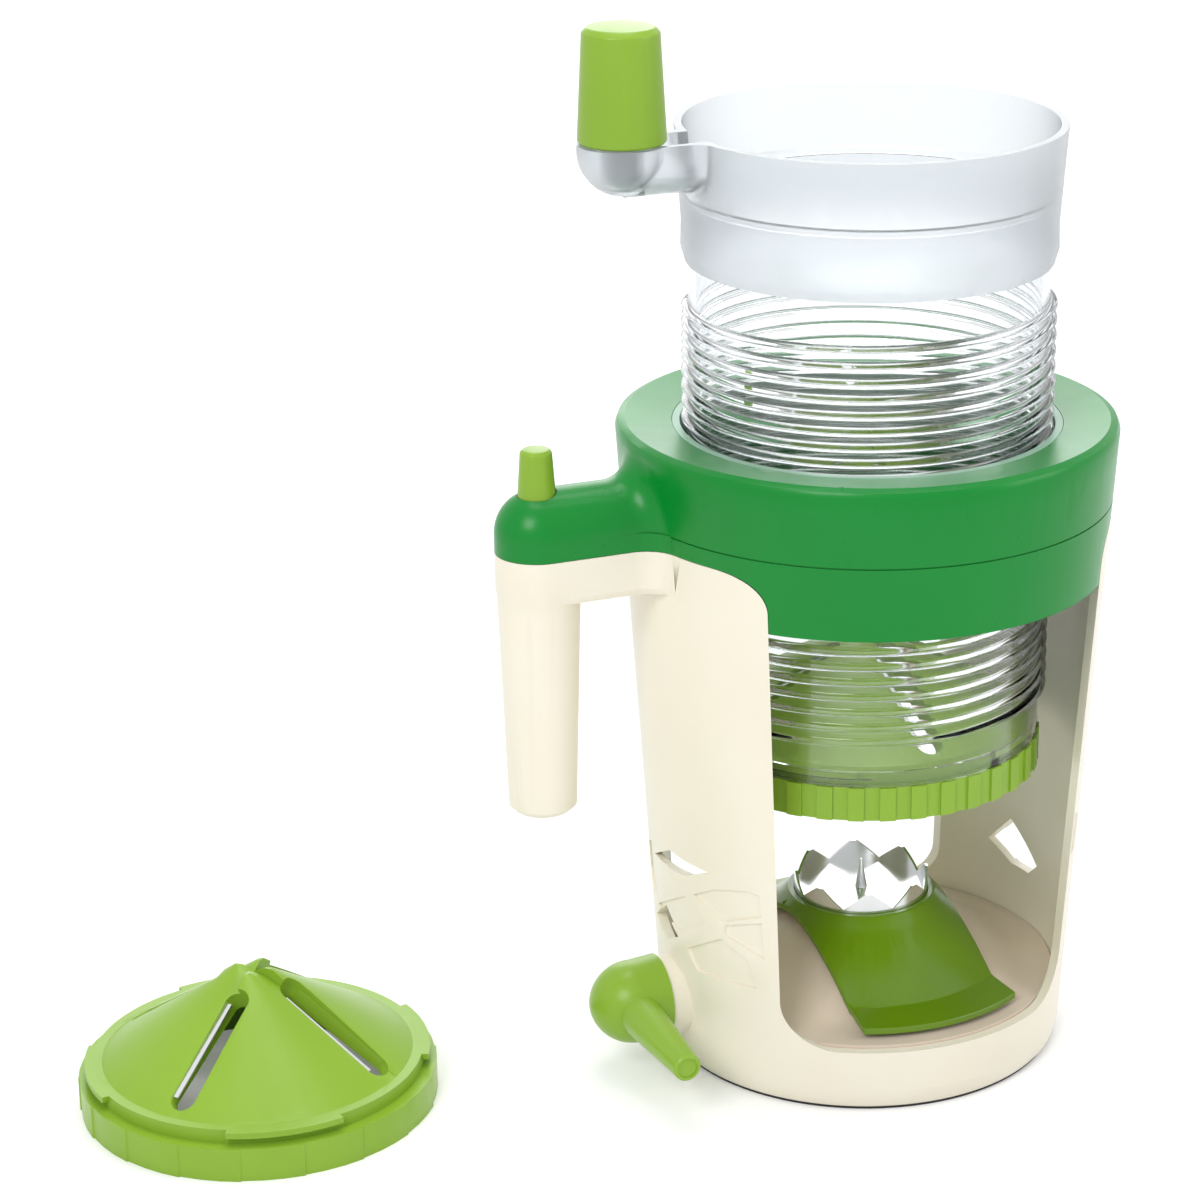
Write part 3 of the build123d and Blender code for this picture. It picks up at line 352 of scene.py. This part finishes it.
def bright_steel(name, colour, roughness, line_scale=900.0):
    """Rolled or plated steel with fine lines in its shine."""
    paint = bpy.data.materials.new(name)
    paint.use_nodes = True
    tree = paint.node_tree
    skin = tree.nodes["Principled BSDF"]
    skin.inputs["Metallic"].default_value = 1.0
    place = tree.nodes.new("ShaderNodeTexCoord")
    lines = tree.nodes.new("ShaderNodeTexNoise")
    lines.inputs["Scale"].default_value = line_scale
    level = tree.nodes.new("ShaderNodeMath")
    level.operation = "MULTIPLY_ADD"
    level.inputs[1].default_value = STEEL_LINE_DEPTH
    level.inputs[2].default_value = roughness
    cloud = tree.nodes.new("ShaderNodeTexNoise")
    cloud.inputs["Scale"].default_value = STEEL_CLOUD_SCALE
    tone = tree.nodes.new("ShaderNodeMix")
    tone.data_type = "RGBA"
    tone.inputs["A"].default_value = (*[STEEL_DIM * part for part in colour], 1.0)
    tone.inputs["B"].default_value = (*colour, 1.0)
    tree.links.new(place.outputs["Object"], lines.inputs["Vector"])
    tree.links.new(place.outputs["Object"], cloud.inputs["Vector"])
    tree.links.new(lines.outputs["Fac"], level.inputs[0])
    tree.links.new(cloud.outputs["Fac"], tone.inputs["Factor"])
    tree.links.new(level.outputs[0], skin.inputs["Roughness"])
    tree.links.new(tone.outputs["Result"], skin.inputs["Base Color"])
    return paint


def sized_tree(name, sizes):
    """Geometry tree with a named input for each size; returns it and its two end nodes."""
    tree = bpy.data.node_groups.new(name, "GeometryNodeTree")
    tree.interface.new_socket("Geometry", in_out="INPUT", socket_type="NodeSocketGeometry")
    tree.interface.new_socket("Geometry", in_out="OUTPUT", socket_type="NodeSocketGeometry")
    for size in sizes:
        kind = {"Finish": "Material", "Columns": "Int", "Rows": "Int", "Turns": "Int"}.get(
            size, "Float")    # counts are whole numbers, every other size is a length or angle
        tree.interface.new_socket(size, in_out="INPUT", socket_type="NodeSocket" + kind)
    into = tree.nodes.new("NodeGroupInput")
    out = tree.nodes.new("NodeGroupOutput")
    return tree, into, out


def step(tree, kind, links=(), **values):
    """Adds one node; links join its inputs to sockets, values set the others."""
    node = tree.nodes.new("GeometryNode" + kind)
    for socket, value in values.items():
        node.inputs[socket.replace("_", " ")].default_value = value
    for socket, source in dict(links).items():
        tree.links.new(source, node.inputs[socket])
    return node


def sum_of(tree, kind, *terms):
    """One Math node of the terms, each a number or a socket; returns what it puts out."""
    node = tree.nodes.new("ShaderNodeMath")
    node.operation = kind
    for place, term in enumerate(terms):
        if isinstance(term, (int, float)):
            node.inputs[place].default_value = term
        else:
            tree.links.new(term, node.inputs[place])
    return node.outputs[0]


def finished(tree, geometry, finish, out):
    """The tree's end: real geometry with its material."""
    real = step(tree, "RealizeInstances", {"Geometry": geometry})
    painted = step(tree, "SetMaterial", {"Geometry": real.outputs[0], "Material": finish})
    tree.links.new(painted.outputs[0], out.inputs["Geometry"])


def grown(name, tree, values, start=None):
    """Runs the tree on the start mesh and returns an object with the plain result."""
    carrier = bpy.data.objects.new(name, start or bpy.data.meshes.new(name))
    bpy.context.scene.collection.objects.link(carrier)
    grower = carrier.modifiers.new(name, "NODES")
    grower.node_group = tree
    for item in tree.interface.items_tree:
        if item.in_out == "INPUT" and item.name in values:
            grower[item.identifier] = values[item.name]
    bpy.context.view_layer.update()
    seen = carrier.evaluated_get(bpy.context.evaluated_depsgraph_get())
    plain = bpy.data.meshes.new_from_object(seen)
    carrier.modifiers.clear()
    carrier.data = plain
    form = bmesh.new()
    form.from_mesh(plain)
    bmesh.ops.recalc_face_normals(form, faces=form.faces)
    form.to_mesh(plain)
    form.free()
    return carrier


def screw_tree():
    """A hexagonal head with a threaded shank above it, on every point."""
    tree, into, out = sized_tree("screw_set", (
        "Shank Radius", "Root Radius", "Head Radius", "Head Height", "Rise", "Turns", "Finish"))
    size = into.outputs
    head = step(tree, "MeshCylinder", {"Radius": size["Head Radius"],
                                       "Depth": size["Head Height"]}, Vertices=6)
    drop = tree.nodes.new("ShaderNodeCombineXYZ")
    tree.links.new(sum_of(tree, "MULTIPLY", size["Head Height"], -0.5), drop.inputs["Z"])
    head = step(tree, "Transform", {"Geometry": head.outputs["Mesh"],
                                    "Translation": drop.outputs[0]})
    climb = tree.nodes.new("ShaderNodeCombineXYZ")
    tree.links.new(size["Rise"], climb.inputs["Z"])
    turns = step(tree, "MeshLine", {"Count": size["Turns"], "Offset": climb.outputs[0]})
    thread = step(tree, "MeshCone", {"Radius Top": size["Root Radius"],
                                     "Radius Bottom": size["Shank Radius"],
                                     "Depth": size["Rise"]}, Vertices=SHANK_SIDES)
    shank = step(tree, "InstanceOnPoints", {"Points": turns.outputs["Mesh"],
                                            "Instance": thread.outputs["Mesh"]})
    whole = tree.nodes.new("GeometryNodeJoinGeometry")
    tree.links.new(head.outputs[0], whole.inputs[0])
    tree.links.new(shank.outputs[0], whole.inputs[0])
    placed = step(tree, "InstanceOnPoints", {"Points": into.outputs["Geometry"],
                                             "Instance": whole.outputs[0]})
    finished(tree, placed.outputs[0], size["Finish"], out)
    return tree


zinc_steel = bright_steel("zinc_steel", ZINC, ZINC_ROUGHNESS)
screw_set = screw_tree()
for kit in (PLATE_SCREWS, COLLAR_SCREWS):
    spots = bpy.data.meshes.new(kit["node"] + "_spots")
    angles = [math.radians(turn) for turn in (kit["first"], 180.0 - kit["first"],
                                              180.0 + kit["first"], -kit["first"])]
    spots.from_pydata([(kit["circle"] * math.cos(a), kit["circle"] * math.sin(a), kit["face"])
                       for a in angles], [], [])
    screws = grown(kit["node"] + "_set", screw_set, {
        "Shank Radius": SCREW_RADIUS, "Root Radius": SCREW_ROOT, "Head Radius": HEAD_RADIUS,
        "Head Height": HEAD_HEIGHT, "Rise": THREAD_RISE, "Turns": kit["turns"],
        "Finish": zinc_steel}, spots)
    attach(screws, "stand")
    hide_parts(kit["node"])

# ---- suction lever ----
# A lime lever with a domed hub and a tapered pin is pressed on the end of a steel shaft,
# whose eccentric works the stem. A quarter turn sucks the foot down.
LIME = (0.25, 0.425, 0.034)
LIME_DEEP = (0.22, 0.38, 0.026)
LIME_GLOSS = 0.25

lime_plastic = moulded_plastic("lime_plastic", LIME, LIME_DEEP, LIME_GLOSS)
moulding_of("suction_lever", "lever", lime_plastic)
moulding_of("lever_shaft", "lever", zinc_steel, edge=0.0)

# ---- holder and its spikes ----
# A curved saddle strip of darker lime rests on the floor and lifts off; the real strip is
# slightly clear, but its plastic here lets no light through.
# A toothed crown of stainless sheet with a spike in its middle is set in its top.
SADDLE = (0.135, 0.255, 0.004)
SADDLE_DEEP = (0.105, 0.205, 0.003)
SADDLE_GLOSS = 0.14
SADDLE_SHINE = 0.5
STAINLESS = (0.78, 0.79, 0.80)
STAINLESS_ROUGHNESS = 0.14

saddle_plastic = moulded_plastic("saddle_plastic", SADDLE, SADDLE_DEEP, SADDLE_GLOSS,
                                 shine=SADDLE_SHINE)
stainless_steel = bright_steel("stainless_steel", STAINLESS, STAINLESS_ROUGHNESS)
moulding_of("holder_plate", "holder", saddle_plastic)
moulding_of("spike_crown", "holder", stainless_steel, edge=0.0)

# ---- collar ----
# Two glossy green shells, screwed together from below, hold the drum and cover the arm of
# the handle. The seam between them shows as a fine line all round.
COLLAR_GREEN = (0.0, 0.232, 0.027)
COLLAR_GREEN_DEEP = (0.0, 0.210, 0.022)
COLLAR_GLOSS = 0.22
COLLAR_SHINE = 0.3

green_plastic = moulded_plastic("green_plastic", COLLAR_GREEN, COLLAR_GREEN_DEEP, COLLAR_GLOSS,
                                shine=COLLAR_SHINE)
moulding_of("collar_upper_shell", "stand", green_plastic)
moulding_of("collar_lower_shell", "stand", green_plastic)

# ---- liner ring ----
# A thin ring of slippery plastic turns in the collar and guides the threaded drum.
# Its green is a painted reflection of the collar that it sits in.
LINER_WITH_PAINTED_GREEN = (0.30, 0.50, 0.36)
LINER_DEEP_WITH_PAINTED_GREEN = (0.26, 0.45, 0.32)
LINER_GLOSS = 0.30
LINER_EDGE = 0.0002

liner_with_painted_green = moulded_plastic("liner_with_painted_green", LINER_WITH_PAINTED_GREEN, LINER_DEEP_WITH_PAINTED_GREEN, LINER_GLOSS)
moulding_of("slip_ring", "ring", liner_with_painted_green, edge=LINER_EDGE)

# ---- release button, its spring and the latch ----
# A lime push button stands on the arm. A wire coil lifts it, and its wedge draws back the
# toothed slide that holds the drum's thread.
SPRING_WIRE = (0.50, 0.50, 0.51)
SPRING_ROUGHNESS = 0.22
COIL_RADIUS = 0.0055
COIL_HEIGHT = 0.0134
COIL_TURNS = 4.0
WIRE_RADIUS = 0.00045
COIL_FOOT = (-0.1106, 0.0, 0.1785)
COIL_STEPS = 32          # points in one turn
WIRE_SIDES = 10

spring_steel = bright_steel("spring_steel", SPRING_WIRE, SPRING_ROUGHNESS)
moulding_of("release_button", "button", lime_plastic)
moulding_of("thread_latch", "latch", plain_plastic, edge=0.0)


def wound_spring():
    """Round wire wound into a coil of the given size, with closed ends."""
    tree, into, out = sized_tree("wound_spring", (
        "Coil Radius", "Coil Height", "Coil Turns", "Wire Radius", "Finish"))
    size = into.outputs
    line = step(tree, "CurveSpiral", {"Rotations": size["Coil Turns"],
                                      "Start Radius": size["Coil Radius"],
                                      "End Radius": size["Coil Radius"],
                                      "Height": size["Coil Height"]}, Resolution=COIL_STEPS)
    wire = step(tree, "CurvePrimitiveCircle", {"Radius": size["Wire Radius"]},
                Resolution=WIRE_SIDES)
    coil = step(tree, "CurveToMesh", {"Curve": line.outputs["Curve"],
                                      "Profile Curve": wire.outputs["Curve"]}, Fill_Caps=True)
    finished(tree, coil.outputs["Mesh"], size["Finish"], out)
    return tree


coil = grown("button_coil", wound_spring(), {
    "Coil Radius": COIL_RADIUS, "Coil Height": COIL_HEIGHT, "Coil Turns": COIL_TURNS,
    "Wire Radius": WIRE_RADIUS, "Finish": spring_steel})
coil.data.transform(Matrix.Translation(COIL_FOOT))
coil.data.shade_smooth()
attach(coil, "stand")
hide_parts("button_spring")
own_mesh(coil)

# ---- threaded drum ----
# The drum is a clear tube, injection moulded with one rib that winds round it as a thread.
# A groove inside its lower end, with four notches, takes the lugs of a cutter disc.
NECK = 0.056
BORE = 0.0536
GROOVE = 0.0549
DRUM_LOW = 0.1076
DRUM_HIGH = 0.2818
LEDGE = 0.10985          # lower side of the groove
GROOVE_ROOF = 0.1124
NOTCH_HALF = 21.5        # degrees each side of a notch's middle
THREAD_LEAD = 0.005
RIB_HEIGHT = 0.0024
RIB_HALF = 0.00135       # half width at its foot
RIB_LOW = 0.120
RIB_HIGH = 0.250
RIB_AZIMUTH = 73.0       # where the rib starts
DRUM_COLUMNS = 120
ROWS_PER_TURN = 12
ROW_CROWDING = 1.6       # rows stand closer at a rib's crest than between ribs
HALF_DOWN = 0.4999       # a row half way between two crests belongs to the lower one
DRUM_WELD = 0.000008
DRUM_CORNER = 75.0       # degrees; the ribs' flanks stay smooth, the tube's ends don't
GLASS_CLEAR = (0.945, 0.957, 0.963)
GLASS_CLEAR_DEEP = (0.93, 0.945, 0.955)
# Painted shade on the drum's edges, where the clear wall turns away from view.
GLASS_PAINTED_EDGE_SHADE = (0.42, 0.50, 0.56)
CLEAR_SHINE = 0.5
GLASS_GRAIN = (260.0, 0.05)
GLASS_PATCHINESS = 0.02


def threaded_tube():
    """A sheared sheet is rolled to the ribbed wall, and plain bands close its inside."""
    tree, into, out = sized_tree("threaded_tube", (
        "Neck", "Bore", "Groove", "Low", "High", "Ledge", "Roof", "Notch Half", "Lead",
        "Rib Height", "Rib Half", "Rib Low", "Rib High", "Sheet Start", "Columns", "Rows",
        "Finish"))
    size = into.outputs
    where = tree.nodes.new("ShaderNodeSeparateXYZ")
    tree.links.new(step(tree, "InputPosition").outputs[0], where.inputs[0])
    lap = sum_of(tree, "ADD", where.outputs["X"], 0.5)
    climb = sum_of(tree, "ADD", where.outputs["Y"], 0.5)
    angle = sum_of(tree, "MULTIPLY", lap, 2 * math.pi)
    cosine, sine = sum_of(tree, "COSINE", angle), sum_of(tree, "SINE", angle)

    def rolled(radius, height, rows):
        """A sheet rolled to a tube of that radius and height, both fields."""
        columns = sum_of(tree, "ADD", size["Columns"], 1.0)
        sheet = step(tree, "MeshGrid", {"Vertices X": columns, "Vertices Y": rows},
                     Size_X=1.0, Size_Y=1.0)
        point = tree.nodes.new("ShaderNodeCombineXYZ")
        tree.links.new(sum_of(tree, "MULTIPLY", radius, cosine), point.inputs["X"])
        tree.links.new(sum_of(tree, "MULTIPLY", radius, sine), point.inputs["Y"])
        tree.links.new(height, point.inputs["Z"])
        placed = step(tree, "SetPosition", {"Geometry": sheet.outputs["Mesh"],
                                            "Position": point.outputs[0]})
        return placed.outputs[0]

    # Rows are counted from crest to crest and crowd towards each crest.
    row = sum_of(tree, "ROUND", sum_of(tree, "MULTIPLY", climb, size["Rows"]))
    turn = sum_of(tree, "DIVIDE", row, ROWS_PER_TURN)
    crest = sum_of(tree, "FLOOR", sum_of(tree, "ADD", turn, HALF_DOWN))
    aside = sum_of(tree, "SUBTRACT", turn, crest)
    spread = sum_of(tree, "POWER", sum_of(tree, "MULTIPLY", sum_of(tree, "ABSOLUTE", aside), 2.0),
                    ROW_CROWDING)
    off = sum_of(tree, "MULTIPLY", sum_of(tree, "MULTIPLY", spread, 0.5), size["Lead"])
    signed = sum_of(tree, "MULTIPLY", off, sum_of(tree, "SIGN", aside))
    on_crest = sum_of(tree, "MULTIPLY_ADD", crest, size["Lead"], size["Sheet Start"])
    sheared = sum_of(tree, "MULTIPLY_ADD", lap, size["Lead"],
                     sum_of(tree, "ADD", on_crest, signed))
    height = sum_of(tree, "MINIMUM", sum_of(tree, "MAXIMUM", sheared, size["Low"]), size["High"])

    def eased(share):
        """Smooth step of a share held between 0 and 1."""
        held = sum_of(tree, "MINIMUM", sum_of(tree, "MAXIMUM", share, 0.0), 1.0)
        slope = sum_of(tree, "SUBTRACT", 3.0, sum_of(tree, "MULTIPLY", held, 2.0))
        return sum_of(tree, "MULTIPLY", sum_of(tree, "MULTIPLY", held, held), slope)

    profile = eased(sum_of(tree, "SUBTRACT", 1.0,
                           sum_of(tree, "DIVIDE", off, size["Rib Half"])))
    run_in = eased(sum_of(tree, "DIVIDE", sum_of(tree, "SUBTRACT", height, size["Rib Low"]),
                          size["Rib Half"]))
    run_out = eased(sum_of(tree, "DIVIDE", sum_of(tree, "SUBTRACT", size["Rib High"], height),
                           size["Rib Half"]))
    rib = sum_of(tree, "MULTIPLY", sum_of(tree, "MULTIPLY", profile, size["Rib Height"]),
                 sum_of(tree, "MULTIPLY", run_in, run_out))
    ribbed = rolled(sum_of(tree, "ADD", rib, size["Neck"]), height,
                    sum_of(tree, "ADD", size["Rows"], 1.0))

    # Inside, the mouth is as wide as the groove only in the four notches.
    quarter = sum_of(tree, "MULTIPLY", lap, 4.0)
    from_notch = sum_of(tree, "ABSOLUTE", sum_of(
        tree, "SUBTRACT", quarter, sum_of(tree, "ROUND", quarter)))
    in_notch = sum_of(tree, "LESS_THAN", sum_of(tree, "MULTIPLY", from_notch, 90.0),
                      size["Notch Half"])
    mouth = sum_of(tree, "MULTIPLY_ADD", in_notch,
                   sum_of(tree, "SUBTRACT", size["Groove"], size["Bore"]), size["Bore"])
    stations = ((size["Neck"], size["Low"]), (mouth, size["Low"]), (mouth, size["Ledge"]),
                (size["Groove"], size["Ledge"]), (size["Groove"], size["Roof"]),
                (size["Bore"], size["Roof"]), (size["Bore"], size["High"]),
                (size["Neck"], size["High"]))
    whole = tree.nodes.new("GeometryNodeJoinGeometry")
    tree.links.new(ribbed, whole.inputs[0])
    for (r_from, z_from), (r_to, z_to) in zip(stations, stations[1:]):
        radius = sum_of(tree, "MULTIPLY_ADD", climb, sum_of(tree, "SUBTRACT", r_to, r_from),
                        r_from)
        level = sum_of(tree, "MULTIPLY_ADD", climb, sum_of(tree, "SUBTRACT", z_to, z_from),
                       z_from)
        tree.links.new(rolled(radius, level, sum_of(tree, "ADD", 1.0, 1.0)), whole.inputs[0])
    welded = step(tree, "MergeByDistance", {"Geometry": whole.outputs[0]}, Distance=DRUM_WELD)
    finished(tree, welded.outputs[0], size["Finish"], out)
    return tree


first_crest = RIB_LOW - THREAD_LEAD * RIB_AZIMUTH / 360.0
turns_below = math.ceil((first_crest + THREAD_LEAD - DRUM_LOW) / THREAD_LEAD)
sheet_start = first_crest - turns_below * THREAD_LEAD
drum_turns = math.ceil((DRUM_HIGH - sheet_start) / THREAD_LEAD)
drum_plastic = moulded_plastic("drum_plastic", GLASS_CLEAR, GLASS_CLEAR_DEEP, 0.0,
                               grain_size=GLASS_GRAIN[0], grain_height=GLASS_GRAIN[1],
                               shine=CLEAR_SHINE, clearness=1.0, painted_edge_shade=GLASS_PAINTED_EDGE_SHADE,
                               patchiness=GLASS_PATCHINESS)
drum_wall = grown("drum_wall", threaded_tube(), {
    "Neck": NECK, "Bore": BORE, "Groove": GROOVE, "Low": DRUM_LOW, "High": DRUM_HIGH,
    "Ledge": LEDGE, "Roof": GROOVE_ROOF, "Notch Half": NOTCH_HALF, "Lead": THREAD_LEAD,
    "Rib Height": RIB_HEIGHT, "Rib Half": RIB_HALF, "Rib Low": RIB_LOW, "Rib High": RIB_HIGH,
    "Sheet Start": sheet_start, "Columns": DRUM_COLUMNS, "Rows": drum_turns * ROWS_PER_TURN,
    "Finish": drum_plastic})
drum_wall.data.shade_smooth()
drum_wall.data.set_sharp_from_angle(angle=math.radians(DRUM_CORNER))
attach(drum_wall, "drum")
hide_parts("drum_tube")

# ---- crank collar ----
# A frosted clear collar is welded on top of the drum. Its arm is an open trough that ends
# in a cup for the knob; arm and cup are a little clearer than the collar, but here all three
# share one frosted finish.
FROST = (0.87, 0.895, 0.912)
FROST_DEEP = (0.84, 0.87, 0.89)
# Painted shade on the collar's edges, where the frosted wall turns away from view.
FROST_PAINTED_EDGE_SHADE = (0.50, 0.56, 0.60)
FROST_GLOSS = 0.27
FROST_CLEARNESS = 0.92
FROST_GRAIN = (1800.0, 0.2)
FROST_PATCHINESS = 0.012

frosted_plastic = moulded_plastic("frosted_plastic", FROST, FROST_DEEP, FROST_GLOSS,
                                  grain_size=FROST_GRAIN[0], grain_height=FROST_GRAIN[1],
                                  shine=CLEAR_SHINE, clearness=FROST_CLEARNESS,
                                  painted_edge_shade=FROST_PAINTED_EDGE_SHADE, patchiness=FROST_PATCHINESS)
moulding_of("crank_collar", "drum", frosted_plastic)

# ---- crank knob ----
# The lime knob turns on a steel pin that stands in the cup. The pin's slotted head snaps
# into the knob and keeps it on.
moulding_of("crank_knob", "knob", lime_plastic)
moulding_of("knob_spindle", "drum", zinc_steel, edge=0.0)

# ---- cutter discs ----
# Two cone-shaped lime discs carry four slanted stainless blades each. One is locked in the
# drum, the other lies on the table with its other set of blades.
CUTTER_EDGE = 0.0003
CUTTERS = (
    # disc, its blades, body
    ("fitted_cutter", "fitted_blades", "cutter"),
    ("spare_cutter", "spare_blades", "spare"),
)

for disc, blades, body in CUTTERS:
    moulding_of(disc, body, lime_plastic, edge=CUTTER_EDGE)
    moulding_of(blades, body, stainless_steel, edge=0.0)
